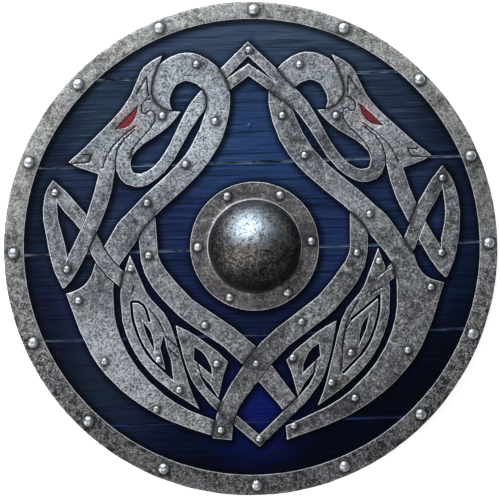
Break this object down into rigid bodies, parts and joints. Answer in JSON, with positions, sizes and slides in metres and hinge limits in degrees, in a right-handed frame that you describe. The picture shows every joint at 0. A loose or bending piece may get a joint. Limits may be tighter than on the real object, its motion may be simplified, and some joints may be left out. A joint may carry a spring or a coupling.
{
  "type": "wooden round shield",
  "caption": "Round shield of painted planks with a steel rim, a domed boss over a hand hole, a wooden grip and riveted interlace plates of two beasts.",
  "frame": {"origin": "on the floor under the middle of the rim, with the flat back of the grip at the lowest level", "axes": "+Z out of the painted face, +Y up the axis of the ornament, +X to the right seen from the front"},
  "size_m": [0.61, 0.61, 0.0806],
  "materials": {
    "plank_paint": "deep blue paint over straight wood grain, darker towards the rim",
    "rim_steel": "aged grey-brown steel with bright worn edges",
    "boss_steel": "aged steel, speckled, bright at the top of the dome and brown on the flange",
    "plate_steel": "aged grey steel with worn bright edges and dark scored lines",
    "rivet_steel": "aged steel, bright on top",
    "rivet_paint": "blue paint over the rivet head",
    "grip_wood": "bare oiled wood"
  },
  "bodies": {
    "root": {"boss": "boss_steel", "boss_rivet_1": "rivet_steel", "boss_rivet_2": "rivet_steel", "boss_rivet_3": "rivet_steel", "boss_rivet_4": "rivet_steel", "boss_rivet_5": "rivet_steel", "boss_rivet_6": "rivet_steel", "grip": "grip_wood", "left_head_plate": "plate_steel", "left_inner_band": "plate_steel", "left_knot_corner": "plate_steel", "left_knot_leaf": "plate_steel", "left_neck_plate": "plate_steel", "lower_grip_rivet": "rivet_steel", "plank_1": "plank_paint", "plank_2": "plank_paint", "plank_3": "plank_paint", "plank_4": "plank_paint", "plank_5": "plank_paint", "plank_6": "plank_paint", "right_head_plate": "plate_steel", "right_inner_band": "plate_steel", "right_knot_corner": "plate_steel", "right_knot_leaf": "plate_steel", "right_leaf_plate": "plate_steel", "right_neck_loop": "plate_steel", "right_neck_plate": "plate_steel", "rim": "rim_steel", "rim_rivet_1": "rivet_steel", "rim_rivet_10": "rivet_steel", "rim_rivet_11": "rivet_steel", "rim_rivet_12": "rivet_steel", "rim_rivet_13": "rivet_steel", "rim_rivet_14": "rivet_steel", "rim_rivet_15": "rivet_steel", "rim_rivet_16": "rivet_steel", "rim_rivet_2": "rivet_steel", "rim_rivet_3": "rivet_steel", "rim_rivet_4": "rivet_steel", "rim_rivet_5": "rivet_steel", "rim_rivet_6": "rivet_steel", "rim_rivet_7": "rivet_steel", "rim_rivet_8": "rivet_steel", "rim_rivet_9": "rivet_steel", "upper_grip_rivet": "rivet_paint"}
  },
  "joints": []
}
